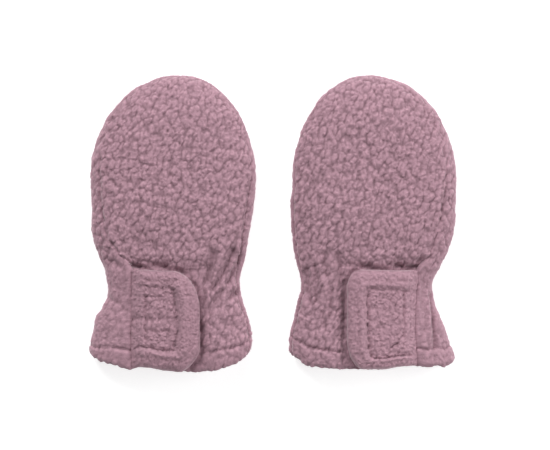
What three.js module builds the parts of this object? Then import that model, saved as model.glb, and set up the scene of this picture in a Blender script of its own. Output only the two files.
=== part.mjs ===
// A pair of thumbless baby mittens in thick curly wool fleece, laid flat side by side, palms on the floor.
// Each mitten has a front panel, a wider back panel that wraps round both sides, a closing flap sewn to the
// edge of the cuff's slit, and a hook patch under the flap. Millimetres, +X right, +Y to the fingertips, +Z up.
import * as THREE from "three";

// Cloth
const WALL = 2.6; // fleece, pile included
const HEM_WALL = 3.4; // the turned hem is double
const SEAM_GAP = 0.3;
const FLAP_WALL = 4.0; // two layers
const HOOK_WALL = 1.0;

// Side of the laid tube
const SIDE_HEIGHT = 5.6; // height at which the side bulges out most
const SIDE_CURL = 6.5; // width of the curl under each side
const PILLOW_POWER = 4; // how square the top is across

// Cuff
const SLIT_TOP = -23.6; // the slit's upper end, and the flap's top edge
const HEM_STITCH = -62.5;
const HEM_GROOVE = 0.7;
const CREASE_SHARE = 0.4; // the part of a crease's depth that shows on the inside
const UNDERLAP = 3; // how far the front panel runs on under the slit edge
const FLAP_DIP = 2.6; // how far the flap presses the front panel in
const DIP_LENGTH = 7.5; // over which the front panel comes up again above the flap

// A section row: y at the sides, half widths to the slit side and the far side, where the two seams lie,
// the height of the top, how far the row sags to the cuff in its middle, and how far its far end rides higher.
// A flap corner: how far across and up it is rounded, and how full the round is (1 is a straight cut).
// A crease: a furrow from one place to another, with its half width and depth.
const LEFT = {
  name: "left",
  hand: 1,
  centre: -53.55,
  tipRise: 54.8,
  tipLean: 3.8,
  tipInset: 1.0,
  seamFade: 5,
  flap: { reach: 14.7, top: { across: 12, up: 16.5, full: 2 }, bottom: { across: 9.7, up: 7, full: 1.3 } },
  sections: [
    { y: 25.0, slit: 44.3, far: 44.3, slitSeam: 39.0, farSeam: 42.2, height: 15.0, sag: 0.0, hang: 0 },
    { y: 9.0, slit: 43.8, far: 43.2, slitSeam: 38.0, farSeam: 40.0, height: 15.0, sag: 0.0, hang: 0 },
    { y: -7.0, slit: 43.2, far: 40.5, slitSeam: 34.9, farSeam: 37.8, height: 14.6, sag: 0.0, hang: 0 },
    { y: -17.0, slit: 40.0, far: 38.9, slitSeam: 27.5, farSeam: 36.8, height: 14.0, sag: 0.0, hang: 0 },
    { y: -23.6, slit: 37.3, far: 37.3, slitSeam: 21.8, farSeam: 36.0, height: 13.8, sag: 0.3, hang: 0 },
    { y: -30.0, slit: 35.7, far: 35.8, slitSeam: 21.7, farSeam: 34.8, height: 13.6, sag: 0.8, hang: 0.3 },
    { y: -36.0, slit: 35.2, far: 36.4, slitSeam: 21.7, farSeam: 35.4, height: 13.6, sag: 1.6, hang: 0.6 },
    { y: -43.0, slit: 37.6, far: 37.4, slitSeam: 21.7, farSeam: 36.4, height: 13.8, sag: 2.6, hang: 1.0 },
    { y: -49.0, slit: 41.2, far: 39.8, slitSeam: 21.7, farSeam: 38.8, height: 14.2, sag: 3.7, hang: 1.3 },
    { y: -56.0, slit: 42.6, far: 41.6, slitSeam: 21.7, farSeam: 40.6, height: 14.5, sag: 5.0, hang: 1.6 },
    { y: -62.5, slit: 44.6, far: 42.6, slitSeam: 21.7, farSeam: 41.6, height: 14.8, sag: 6.4, hang: 1.8 },
    { y: -69.0, slit: 44.2, far: 40.9, slitSeam: 21.7, farSeam: 39.9, height: 14.8, sag: 10.4, hang: 0.6 },
  ],
  creases: [
    { x: 21.6, y: -16.5, toX: 18.6, toY: -30.5, width: 1.9, depth: 2.0 },
    { x: 32.4, y: -14.5, toX: 27.1, toY: -26.7, width: 2.0, depth: 2.4 },
    { x: 27.1, y: -26.7, toX: 21.5, toY: -34.5, width: 2.0, depth: 2.2 },
    { x: 37.0, y: -18.5, toX: 30.0, toY: -32.0, width: 1.8, depth: 1.8 },
    { x: 38.0, y: -35.0, toX: 31.5, toY: -39.3, width: 1.9, depth: 1.8 },
    { x: 25.6, y: -36.0, toX: 19.6, toY: -47.0, width: 1.8, depth: 1.1 },
    { x: -36.5, y: -39.0, toX: -29.0, toY: -42.5, width: 1.9, depth: 1.1 },
    { x: -33.0, y: -20.5, toX: -27.5, toY: -23.5, width: 1.8, depth: 1.0 },
    { x: 31.0, y: -52.0, toX: 27.0, toY: -61.0, width: 1.9, depth: 0.8 },
  ],
};
const RIGHT = {
  name: "right",
  hand: -1,
  centre: 54.35,
  tipRise: 57.4,
  tipLean: 3.2,
  tipInset: 1.0,
  seamFade: 1.6,
  flap: { reach: 14.9, top: { across: 8.3, up: 9, full: 2 }, bottom: { across: 8.6, up: 14, full: 1.7 } },
  sections: [
    { y: 22.3, slit: 44.3, far: 44.3, slitSeam: 38.2, farSeam: 43.2, height: 15.0, sag: 0.0, hang: 0 },
    { y: 9.0, slit: 43.8, far: 44.8, slitSeam: 36.3, farSeam: 43.7, height: 15.0, sag: 0.0, hang: 0 },
    { y: -7.0, slit: 42.1, far: 44.3, slitSeam: 33.2, farSeam: 43.2, height: 14.6, sag: 0.0, hang: 0 },
    { y: -17.0, slit: 38.9, far: 42.7, slitSeam: 29.0, farSeam: 41.6, height: 14.0, sag: 0.0, hang: 0 },
    { y: -23.6, slit: 35.7, far: 41.1, slitSeam: 23.4, farSeam: 40.0, height: 13.8, sag: 0.3, hang: 0 },
    { y: -30.0, slit: 31.9, far: 39.5, slitSeam: 22.6, farSeam: 38.4, height: 13.6, sag: 0.8, hang: 0.4 },
    { y: -36.0, slit: 31.4, far: 39.6, slitSeam: 22.0, farSeam: 38.5, height: 13.6, sag: 1.6, hang: 0.8 },
    { y: -43.0, slit: 33.0, far: 41.2, slitSeam: 21.5, farSeam: 40.1, height: 13.8, sag: 2.6, hang: 1.2 },
    { y: -49.0, slit: 35.7, far: 42.4, slitSeam: 21.3, farSeam: 41.3, height: 14.2, sag: 3.7, hang: 1.6 },
    { y: -56.0, slit: 38.7, far: 43.9, slitSeam: 21.4, farSeam: 42.8, height: 14.5, sag: 5.0, hang: 2.0 },
    { y: -62.5, slit: 41.2, far: 45.4, slitSeam: 21.8, farSeam: 44.2, height: 14.8, sag: 6.4, hang: 2.3 },
    { y: -71.9, slit: 43.8, far: 45.2, slitSeam: 22.3, farSeam: 44.1, height: 14.8, sag: 6.3, hang: 1.5 },
  ],
  creases: [
    { x: 20.0, y: -17.0, toX: 18.0, toY: -33.0, width: 1.9, depth: 1.7 },
    { x: 27.2, y: -17.0, toX: 26.4, toY: -27.5, width: 1.8, depth: 1.3 },
    { x: 32.4, y: -23.0, toX: 31.6, toY: -41.0, width: 1.8, depth: 1.4 },
    { x: 37.0, y: -25.0, toX: 34.6, toY: -43.0, width: 1.7, depth: 1.3 },
    { x: 23.4, y: -36.0, toX: 23.9, toY: -45.0, width: 1.7, depth: 1.1 },
    { x: 28.2, y: -47.5, toX: 27.2, toY: -55.0, width: 1.7, depth: 1.0 },
    { x: -31.0, y: -38.5, toX: -32.4, toY: -67.5, width: 1.6, depth: 2.0 },
  ],
};

const mix = (a, b, t) => a + (b - a) * t;
const ease = (t) => {
  const x = Math.min(1, Math.max(0, t));
  return x * x * (3 - 2 * x);
};

// The section at a height, each column carried smoothly from row to row.
function sectionAt(mitten, y) {
  const rows = mitten.sections;
  const last = rows.length - 1;
  let k = 0;
  while (k < last - 1 && y < rows[k + 1].y) k += 1;
  const [r0, r1, r2, r3] = [k - 1, k, k + 1, k + 2].map((i) => rows[Math.min(last, Math.max(0, i))]);
  const t = Math.min(1, Math.max(0, (y - r1.y) / (r2.y - r1.y)));
  const slope = (a, b, key) => (b.y === a.y ? 0 : (b[key] - a[key]) / (b.y - a.y));
  const span = r2.y - r1.y;
  const out = {};
  for (const key of Object.keys(r1)) {
    const [s1, s2] = [slope(r0, r2, key) * span, slope(r1, r3, key) * span];
    const rest = r1[key] * (1 + 2 * t) * (1 - t) ** 2 + r2[key] * t * t * (3 - 2 * t);
    out[key] = rest + s1 * t * (1 - t) ** 2 - s2 * t * t * (1 - t);
  }
  out.y = y;
  return out;
}

// A row's y at a share of the half width: level across the hand, sagging across the cuff.
const rowY = (row, share) => row.y - row.sag * (1 - share ** 4) + row.hang * share ** 3;

// A point of the pillow's top. Below the tip, share is the signed part of the half width and up is 0.
// In the tip, the plan is half an ellipse, and share and up are its two coordinates.
function pillowTop(mitten, row, share, up) {
  const radius = Math.min(1, Math.hypot(share, up));
  const x = share * (share < 0 ? row.slit : row.far) + mitten.tipLean * up ** 6;
  const y = rowY(row, share) + up * mitten.tipRise;
  const z = mix(SIDE_HEIGHT, row.height, Math.sqrt(1 - radius ** PILLOW_POWER));
  return new THREE.Vector3(x, y, z);
}

// The way out of the pillow at such a point.
function pillowNormal(mitten, row, share, up) {
  const by = 1e-3;
  const inside = Math.min(1, 0.995 / Math.max(by, Math.hypot(share, up)));
  const [s, u] = [share * inside, up * inside];
  const across = pillowTop(mitten, row, s + by, u).sub(pillowTop(mitten, row, s - by, u));
  const [ahead, behind] =
    u > 0
      ? [pillowTop(mitten, row, s, u + by), pillowTop(mitten, row, s, u - by)]
      : [0.1, -0.1].map((d) => pillowTop(mitten, sectionAt(mitten, row.y + d), s, 0));
  return across.cross(ahead.sub(behind)).normalize();
}

// A point of a layer of cloth that lies so far out from the pillow's top.
const layerPoint = (mitten, row, share, up, out) =>
  pillowTop(mitten, row, share, up).addScaledVector(pillowNormal(mitten, row, share, up), out);

// How deep the front panel's face lies under the pillow's top: pressed in by the flap, tucked under the slit edge.
function frontDepth(mitten, x, row) {
  const atSlit = 1 - ease((x + row.slitSeam) / 12);
  const underFlap = 1 - ease((x - mitten.flap.reach - 0.5) / 7);
  const depth = mix(FLAP_DIP * underFlap, wallAt(row) + SEAM_GAP, atSlit);
  return depth * (1 - ease((row.y - SLIT_TOP) / DIP_LENGTH));
}

// How deep the creases press the cloth in at a place.
function creaseDepth(mitten, x, y) {
  const depths = mitten.creases.map((c) => {
    const [dx, dy] = [c.toX - c.x, c.toY - c.y];
    const along = Math.min(1, Math.max(0, ((x - c.x) * dx + (y - c.y) * dy) / (dx * dx + dy * dy)));
    const away = Math.hypot(x - c.x - along * dx, y - c.y - along * dy);
    return c.depth * Math.exp(-((away / c.width) ** 2));
  });
  return Math.max(...depths);
}

// The hem's turned band with its stitched furrow.
function hemRelief(row) {
  const fromStitch = row.y - HEM_STITCH;
  const hem = 0.5 * ease(-fromStitch / 1.2);
  return hem - HEM_GROOVE * Math.exp(-((fromStitch / 0.8) ** 2));
}
const wallAt = (row) => mix(WALL, HEM_WALL, ease((HEM_STITCH + 1 - row.y) / 3));

// Where a panel's grid line lies: a row down the hand and cuff, or a level of the tip.
function line(mitten, at) {
  const top = mitten.sections[0].y;
  const hem = mitten.sections.at(-1).y;
  if (at >= 0) return { row: sectionAt(mitten, top), level: at };
  const y = mix(top, hem, -at);
  return { row: sectionAt(mitten, y), level: 0 };
}

// A square grid bent into half an ellipse, so that the tip has no pole.
function tipPlan(across, level) {
  return [across * Math.sqrt(1 - (level * level) / 2), level * Math.sqrt(1 - (across * across) / 2)];
}

// The part of the half width at which the seam lies, in a direction from the middle.
function seamShare(mitten, row, toFar, toTip) {
  const half = toFar < 0 ? row.slit : row.far;
  const seam = toFar < 0 ? row.slitSeam : row.farSeam;
  const side = Math.abs(toFar) ** mitten.seamFade;
  const inset = mix(mitten.tipInset / mitten.tipRise, 1 - seam / half, toTip > 0 ? side : 1);
  return 1 - inset;
}

// The front panel: the pillow's top between the seams, pressed in under the flap.
function frontPoints(mitten, across, at) {
  const { row, level } = line(mitten, at);
  const [share, up] = tipPlan(across, level);
  const radius = Math.max(1e-9, Math.hypot(share, up));
  const half = share < 0 ? row.slit : row.far;
  const underlap = share < 0 ? UNDERLAP * ease((SLIT_TOP - 1 - row.y) / 4) : 0;
  const reach = seamShare(mitten, row, share / radius, up / radius) + (underlap - SEAM_GAP / 2) / half;
  const depth = level > 0 ? 0 : frontDepth(mitten, share * reach * half, row);
  const clearOfFlap = ease((share * reach * half - mitten.flap.reach - 1.5) / 3);
  const creased = creaseDepth(mitten, share * reach * half, rowY(row, share * reach));
  const sunk = level > 0 ? 0 : creased * clearOfFlap;
  const raised = level > 0 ? 0 : hemRelief(row) * clearOfFlap;
  return [raised - edgeDrop(across, at) - sunk, -sunk * CREASE_SHARE - wallAt(row)].map((out) =>
    layerPoint(mitten, row, share * reach, up * reach, out - depth),
  );
}

// The outer face turns down a little at a panel's seams, and more at the hem's edge.
const edgeDrop = (across, at) => (at === -1 ? 1.1 : Math.abs(across) === 1 || at === 1 ? 0.5 : 0);

// The back panel: flat on the floor, curled up each side and round the tip, and wrapped on to the top.
const FLAT_SHARE = 0.5;
const CURL_SHARE = 0.75;
function backSurface(mitten, across, at) {
  const { row, level } = line(mitten, at);
  const [share, up] = tipPlan(across, level);
  const radius = Math.max(1e-9, Math.hypot(share, up));
  const [toFar, toTip] = [share / radius, up / radius];
  const half = toFar < 0 ? row.slit : row.far;
  const flat = 1 - SIDE_CURL / mix(half, mitten.tipRise, toTip);
  let [shareOut, z] = [(radius / FLAT_SHARE) * flat, 0];
  if (radius > CURL_SHARE) {
    const seam = seamShare(mitten, row, toFar, toTip) + SEAM_GAP / 2 / half;
    const turn = ((radius - CURL_SHARE) / (1 - CURL_SHARE)) * Math.acos(seam ** 2);
    shareOut = Math.sqrt(Math.cos(turn));
    z = mix(SIDE_HEIGHT, row.height, Math.sin(turn));
  } else if (radius > FLAT_SHARE) {
    const turn = ((radius - FLAT_SHARE) / (CURL_SHARE - FLAT_SHARE)) * (Math.PI / 2);
    shareOut = mix(flat, 1, Math.sin(turn));
    z = SIDE_HEIGHT * (1 - Math.cos(turn));
  }
  return pillowTop(mitten, row, toFar * shareOut, toTip * shareOut).setZ(z);
}

function backPoints(mitten, across, at) {
  const step = 1e-3;
  const acrossBy = backSurface(mitten, across + step, at).sub(backSurface(mitten, across - step, at));
  const alongBy = backSurface(mitten, across, at + step).sub(backSurface(mitten, across, at - step));
  const normal = alongBy.cross(acrossBy).normalize();
  const { row, level } = line(mitten, at);
  const point = backSurface(mitten, across, at);
  const offFloor = ease((normal.z + 0.9) / 0.6);
  const creased = level > 0 ? 0 : creaseDepth(mitten, point.x, point.y) * ease((normal.z + 0.2) / 0.5);
  const raised = (hemRelief(row) - edgeDrop(across, at)) * offFloor;
  const outs = [raised - creased, -wallAt(row) - creased * CREASE_SHARE];
  return outs.map((out) => point.clone().addScaledVector(normal, out));
}

// A closed wall over a grid of columns and rows, from a function that gives each outer and inner point.
function wallSolid(columns, rows, pointsAt, facing) {
  const pairs = rows.flatMap((at) => columns.map((across) => pointsAt(across, at)));
  const [outer, inner] = [0, 1].map((side) => pairs.map((pair) => pair[side]));
  return closedGrid(columns.length, rows.length, outer, inner, facing);
}

// Two grids of points joined round their edges into one closed body.
function closedGrid(wide, long, outer, inner, facing) {
  const position = [...outer, ...inner].flatMap((p) => [p.x, p.y, p.z]);
  const triangles = [];
  const quad = (a, b, c, d) => triangles.push(...(facing > 0 ? [a, b, c, a, c, d] : [a, c, b, a, d, c]));
  const id = (i, j, side) => side * wide * long + j * wide + i;
  for (let j = 0; j < long - 1; j += 1)
    for (let i = 0; i < wide - 1; i += 1) {
      quad(id(i, j, 0), id(i + 1, j, 0), id(i + 1, j + 1, 0), id(i, j + 1, 0));
      quad(id(i, j, 1), id(i, j + 1, 1), id(i + 1, j + 1, 1), id(i + 1, j, 1));
    }
  for (let i = 0; i < wide - 1; i += 1) {
    quad(id(i + 1, 0, 0), id(i, 0, 0), id(i, 0, 1), id(i + 1, 0, 1));
    quad(id(i, long - 1, 0), id(i + 1, long - 1, 0), id(i + 1, long - 1, 1), id(i, long - 1, 1));
  }
  for (let j = 0; j < long - 1; j += 1) {
    quad(id(0, j, 0), id(0, j + 1, 0), id(0, j + 1, 1), id(0, j, 1));
    quad(id(wide - 1, j + 1, 0), id(wide - 1, j, 0), id(wide - 1, j, 1), id(wide - 1, j + 1, 1));
  }
  const geometry = new THREE.BufferGeometry();
  geometry.setAttribute("position", new THREE.Float32BufferAttribute(position, 3));
  geometry.setIndex(triangles);
  geometry.computeVertexNormals();
  return geometry;
}

// Even steps from one value to another, both ends in.
const steps = (from, to, count) => Array.from({ length: count + 1 }, (_, i) => mix(from, to, i / count));

// A grid's rows, as parts of the way from the tip's foot to the hem, from heights at the sides.
function rowsAt(mitten, heights) {
  const top = mitten.sections[0].y;
  const hem = mitten.sections.at(-1).y;
  return heights.map((y) => -(top - Math.max(hem, y)) / (top - hem));
}
const CUFF_ROWS = [-70, -68, -65.5, -63.6, -62.5, -61.4, -58.5, -54, -49.5, -45];
const WRIST_ROWS = [-41, -37.5, -34, -31, -28, -25.5, -23.2, -20.5, -17, -13];
const HAND_ROWS = [-7, 1, 11];

function frontPanel(mitten) {
  const slitSide = [-1, -0.94, -0.86, -0.75, -0.62, -0.48, -0.32, -0.16];
  const farSide = [0, 0.12, 0.24, 0.34, 0.42, 0.49, 0.555, 0.62, 0.685, 0.75, 0.815, 0.875, 0.925, 0.965, 1];
  const rows = rowsAt(mitten, [...CUFF_ROWS, ...WRIST_ROWS, ...HAND_ROWS]);
  const tip = [0, 0.2, 0.4, 0.6, 0.76, 0.88, 0.96, 1];
  const pointsAt = (across, at) => frontPoints(mitten, across, at);
  return wallSolid([...slitSide, ...farSide], [...rows, ...tip], pointsAt, mitten.hand);
}

function backPanel(mitten) {
  const out = [0.17, 0.34, FLAT_SHARE, 0.58, 0.66, CURL_SHARE, 0.81, 0.87, 0.94, 1];
  const columns = [...out.map((s) => -s).reverse(), 0, ...out];
  const rows = rowsAt(mitten, [...CUFF_ROWS, ...WRIST_ROWS, ...HAND_ROWS]);
  const pointsAt = (across, at) => backPoints(mitten, across, at);
  return wallSolid(columns, [...rows, 0, ...out], pointsAt, -mitten.hand);
}

// A pair of points of a piece that lies over the front panel, so far up from its face and so thick.
function overFront(mitten, x, y, gap, thickness) {
  const row = sectionAt(mitten, y);
  const share = x / (x < 0 ? row.slit : row.far);
  const under = gap - frontDepth(mitten, x, row);
  return [under + thickness, under].map((out) => layerPoint(mitten, row, share, 0, out));
}

// How far the flap's free end is drawn in at a height, by its two round corners.
function cornerInset(flap, y, bottom) {
  const inset = (corner, fromEdge) => {
    const left = 1 - Math.min(1, Math.max(0, fromEdge / corner.up));
    return corner.across * (1 - (1 - left ** corner.full) ** (1 / corner.full));
  };
  return inset(flap.top, SLIT_TOP - y) + inset(flap.bottom, y - bottom);
}

// The flap: laid on the front panel from the slit edge to its round end, with a padded margin round a flat field.
const MARGIN = 10;
const FLAP_BULGE = 1.5; // how far the margin stands out
const FLAP_UP = [0, 0.9, 2.4, 4.5, 7, 9.2, 10.2, 11.4, 16, 21, 26, 31, 35.5, 37.2, 38.4, 40.5, 42.8, 44.2];
const FLAP_ACROSS = [0, 0.12, 0.24, 0.38, 0.52, 0.64, 0.7, 0.76, 0.84, 0.91, 0.965, 1];
function closingFlap(mitten) {
  const { flap } = mitten;
  const bottom = mitten.sections.at(-1).y;
  const pointsAt = (across, y) => {
    const row = sectionAt(mitten, y);
    const seam = -row.slitSeam + SEAM_GAP / 2;
    const end = flap.reach - cornerInset(flap, y, bottom);
    const x = mix(seam, end, across);
    const rim = Math.max(0, Math.min(end - x, SLIT_TOP - y, (y - bottom) * 1.5));
    const joined = ease((x - seam) / 7);
    const bulge = FLAP_BULGE * Math.sin(Math.PI * Math.min(1, rim / MARGIN));
    const groove = 0.8 * Math.exp(-(((rim - MARGIN) / 1) ** 2));
    const round = 1.5 * (1 - Math.sqrt(1 - (1 - Math.min(1, rim / 2)) ** 2));
    const overHook = ease((rim - 5) / 3) * joined * (HOOK_WALL + SEAM_GAP);
    const padded = mix(wallAt(row), FLAP_WALL, joined) + (bulge - groove) * joined;
    return overFront(mitten, x, y, SEAM_GAP + overHook + round * 0.5, padded - round * 1.5);
  };
  const heights = FLAP_UP.map((up) => mix(bottom, SLIT_TOP, up / FLAP_UP.at(-1)));
  return wallSolid(FLAP_ACROSS, heights, pointsAt, mitten.hand);
}

function hookPatch(mitten) {
  const pointsAt = (x, y) => overFront(mitten, x, y, SEAM_GAP, HOOK_WALL);
  return wallSolid(steps(-14, 3, 6), steps(-60, -36, 6), pointsAt, mitten.hand);
}

const PIECES = [
  { name: "back_panel", make: backPanel, colour: "#a88490", roughness: 0.95 },
  { name: "front_panel", make: frontPanel, colour: "#a88490", roughness: 0.95 },
  { name: "closing_flap", make: closingFlap, colour: "#ab8793", roughness: 0.92 },
  { name: "hook_patch", make: hookPatch, colour: "#8f6f7b", roughness: 0.7 },
];

const pair = new THREE.Group();
for (const mitten of [LEFT, RIGHT]) {
  const group = new THREE.Group();
  group.position.x = mitten.centre;
  for (const piece of PIECES) {
    const geometry = piece.make(mitten);
    if (mitten.hand < 0) geometry.scale(-1, 1, 1);
    const cloth = new THREE.MeshStandardMaterial({ color: piece.colour, roughness: piece.roughness });
    const mesh = new THREE.Mesh(geometry, cloth);
    mesh.name = `${mitten.name}_${piece.name}`;
    group.add(mesh);
  }
  pair.add(group);
}

export default pair;
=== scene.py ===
"""A pair of thumbless baby mittens in curly wool fleece, laid flat and seen from straight above.

Every cloth piece is a thin closed shell over its panel's form, with curls raised in its outer face.
Lengths in the tables are millimetres in each mitten's own frame: the slit side of the cuff is negative x.
"""
import math

import bpy
import numpy as np
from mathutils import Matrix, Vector


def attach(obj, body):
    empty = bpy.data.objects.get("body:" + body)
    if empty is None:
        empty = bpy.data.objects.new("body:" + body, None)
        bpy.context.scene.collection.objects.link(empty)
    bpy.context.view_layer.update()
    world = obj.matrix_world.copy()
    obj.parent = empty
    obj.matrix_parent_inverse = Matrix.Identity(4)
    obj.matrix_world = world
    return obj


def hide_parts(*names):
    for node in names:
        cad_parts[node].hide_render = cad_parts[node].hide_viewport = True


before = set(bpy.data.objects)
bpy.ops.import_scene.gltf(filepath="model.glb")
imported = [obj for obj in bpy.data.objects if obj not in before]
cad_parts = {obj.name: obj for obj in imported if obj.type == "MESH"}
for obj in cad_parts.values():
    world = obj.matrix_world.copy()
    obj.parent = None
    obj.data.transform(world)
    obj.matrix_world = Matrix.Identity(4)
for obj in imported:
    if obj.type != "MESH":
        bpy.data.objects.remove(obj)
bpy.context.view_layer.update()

bl_info = {
    "name": "Baby mittens",
    "version": (1, 0, 0),
    "blender": (4, 5, 0),
    "location": "3D View > Sidebar > Mittens",
    "description": "Builds a pair of curly wool fleece mittens over their packed solids",
    "category": "Object",
}

MM = 0.001

# Cloth and cuff, as the solids have them
WALL = 2.6
HEM_WALL = 3.4
SEAM_GAP = 0.3
FLAP_WALL = 4.0
HOOK_WALL = 1.0
SIDE_HEIGHT = 5.6
SIDE_CURL = 6.5
PILLOW_POWER = 4
SLIT_TOP = -23.6
HEM_STITCH = -62.5
UNDERLAP = 3
FLAP_DIP = 2.6
DIP_LENGTH = 7.5
CREASE_SHARE = 0.4  # the part of a crease's depth that shows on the inside
FLAT_SHARE = 0.5
CURL_SHARE = 0.75

# Where the dressed cloth is a little apart from the solids
SEAM_SHUT = -0.16  # the pile closes the seams over
FLAP_TOP = -24.5
FLAP_BULGE = 1.8
UNDERLAP_START = 3.5  # how far above the slit's end the front starts to run under the back
SLIT_PRESS = 0.5  # how far the front's hidden edge is pressed up into the back there

# The pile
CURL_LEAN = 0.42
CURL_STRETCH = 1.6
CURL_MEAN = 0.645
# painted shade: the pile is painted this much darker for each mm of a fold and of a seam's groove
FOLD_SHADE = -0.12  # how much darker the pile is for each mm of a fold
INNER_TONE = 0.35

# The table and the picture
FLOOR_REACH = 3.0  # metres from the middle to each side
PICTURE_WIDTH = 550  # pixels
PIXEL = 0.5369  # mm of the table for a pixel
AIM = (2.0, -1.5)  # pixels from the pair's middle to the picture's, right and up
MIDDLE_HEIGHT = 6  # mm, where the scale holds
SENSOR = 36  # mm

# Meshes
TABLE_GAP = 0.02  # the least height of a point over the table
COARSE = 4  # the grid lines of the outer face for one of the inner face
NO_TRIANGLES = np.zeros((0, 3), int)

# y, half width to the slit side, to the far side, slit seam, far seam, height, sag, hang
LEFT_SECTIONS = [
    (25, 44.3, 44.3, 39, 42.2, 15, 0, 0),
    (9, 43.8, 43.2, 38, 40, 15, 0, 0),
    (-7, 43.2, 40.5, 34.9, 37.8, 14.6, 0, 0),
    (-17, 40, 38.9, 27.5, 36.8, 14, 0, 0),
    (-23.6, 37.3, 37.3, 21.8, 36, 13.8, 0.3, 0),
    (-30, 35.7, 35.8, 21.7, 34.8, 13.6, 0.8, 0.3),
    (-36, 35.2, 36.4, 21.7, 35.4, 13.6, 1.6, 0.6),
    (-43, 37.6, 37.4, 21.7, 36.4, 13.8, 2.6, 1),
    (-49, 41.2, 39.8, 21.7, 38.8, 14.2, 3.7, 1.3),
    (-56, 42.6, 41.6, 21.7, 40.6, 14.5, 5, 1.6),
    (-62.5, 44.6, 42.6, 21.7, 41.6, 14.8, 6.4, 1.8),
    (-69, 44.2, 40.9, 21.7, 39.9, 14.8, 10.4, 0.6),
]
RIGHT_SECTIONS = [
    (22.3, 44.3, 44.3, 38.2, 43.2, 15, 0, 0),
    (9, 43.8, 44.8, 36.3, 43.7, 15, 0, 0),
    (-7, 42.1, 44.3, 33.2, 43.2, 14.6, 0, 0),
    (-17, 38.9, 42.7, 29, 41.6, 14, 0, 0),
    (-23.6, 35.7, 41.1, 23.4, 40, 13.8, 0.3, 0),
    (-30, 31.9, 39.5, 22.6, 38.4, 13.6, 0.8, 0.4),
    (-36, 31.4, 39.6, 22, 38.5, 13.6, 1.6, 0.8),
    (-43, 33, 41.2, 21.5, 40.1, 13.8, 2.6, 1.2),
    (-49, 35.7, 42.4, 21.3, 41.3, 14.2, 3.7, 1.6),
    (-56, 38.7, 43.9, 21.4, 42.8, 14.5, 5, 2),
    (-62.5, 41.2, 45.4, 21.8, 44.2, 14.8, 6.4, 2.3),
    (-71.9, 43.8, 45.2, 22.3, 44.1, 14.8, 6.3, 1.5),
]
# Creases: from x, y, to x, y, half width, depth
LEFT_CREASES = [
    (21.6, -16.5, 18.6, -30.5, 2, 2.6),
    (32.4, -14.5, 27.1, -26.7, 2.1, 2.9),
    (27.1, -26.7, 21.5, -34.5, 2.1, 2.7),
    (37, -18.5, 30, -32, 1.9, 2.4),
    (38, -35, 31.5, -39.3, 2, 2.4),
    (25.6, -36, 19.6, -47, 1.8, 1.6),
    (-36.5, -39, -29, -42.5, 1.7, 1.1),
    (-33, -20.5, -27.5, -23.5, 1.6, 1),
    (31, -52, 27, -61, 1.7, 0.8),
    (16.3, -41, 17, -47.5, 1.7, 1.9),
    (16.3, -54, 16.6, -58.5, 1.6, 1.7),
    (-21.8, -22.6, -17.6, -23.4, 1.3, 3),
    (-10.5, -22.2, -3.8, -22.8, 1.3, 1.8),
    (1.5, -24.4, 6, -26.2, 1.3, 1.8),
    (-27, -33, -25, -46, 2.4, 0.6),
]
RIGHT_CREASES = [
    (20, -17, 18, -33, 1.9, 2),
    (27.2, -17, 26.4, -27.5, 1.6, 1.6),
    (32.4, -23, 31.6, -41, 1.6, 1.7),
    (37, -25, 34.6, -43, 1.6, 1.6),
    (23.4, -36, 23.9, -45, 1.5, 1.5),
    (28.2, -47.5, 27.2, -55, 1.4, 1.4),
    (24.4, -46.5, 24, -49, 1.3, 1.3),
    (16.6, -31, 16.2, -61, 1.2, 3.2),
    (-31, -38.5, -32.4, -67.5, 1.4, 2.2),
    (3, -22.6, 7, -23, 1.3, 2),
    (-11, -22.2, -14.4, -22.6, 1.5, 3),
    (-17, -23, -22.6, -23.2, 1.3, 2.2),
    (-22.8, -20.5, -25.5, -18, 1.4, 1.1),
    (-26.5, -27, -26, -56, 2.2, 0.6),
]
LEFT_FLAP_FOLDS = [
    (-21, -47.4, -3, -47.8, 1.5, 0.8),
    (-13, -52.6, -2, -53, 1.3, 0.8),
    (-20, -28.5, -12, -29.5, 1.2, 0.4),
]
RIGHT_FLAP_FOLDS = [
    (-11.5, -59.5, -8.5, -60.5, 0.9, 1),
    (2, -33, -6, -32.2, 1, 0.4),
]
# Hollows and puffs over the flap: x, y, width, height
LEFT_SWELLS = [
    (-17, -14, 9, -1.6),
    (-12, -21, 5, 1),
    (2, -21, 5, 1),
    (10, -22, 6, 1.6),
]
RIGHT_SWELLS = [(10, -17, 9, -1.2), (4, -20.5, 5, 1.2), (-4, -20.5, 5, 1.3)]
# Where across the cuff its hem hangs higher, and by how much
LEFT_HEM = [
    (-44, -1.1), (-39, 0), (-35, 1.1), (-31, 2.1), (-22, 1.1),
    (-18, 2.6), (-11, 2.5), (-5, 1.1), (6, 0.6), (15, 0),
    (28, 0.3), (33, -0.5), (40, -1.6),
]
RIGHT_HEM = [
    (-43, 0), (-37.3, -1), (-33, 1.5), (-28.7, 0.8), (-24.4, 2.1),
    (-11.5, 2), (-6, 0.7), (10, 0.2), (30, 0.2), (35.7, -1),
    (41, 0.3),
]

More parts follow.
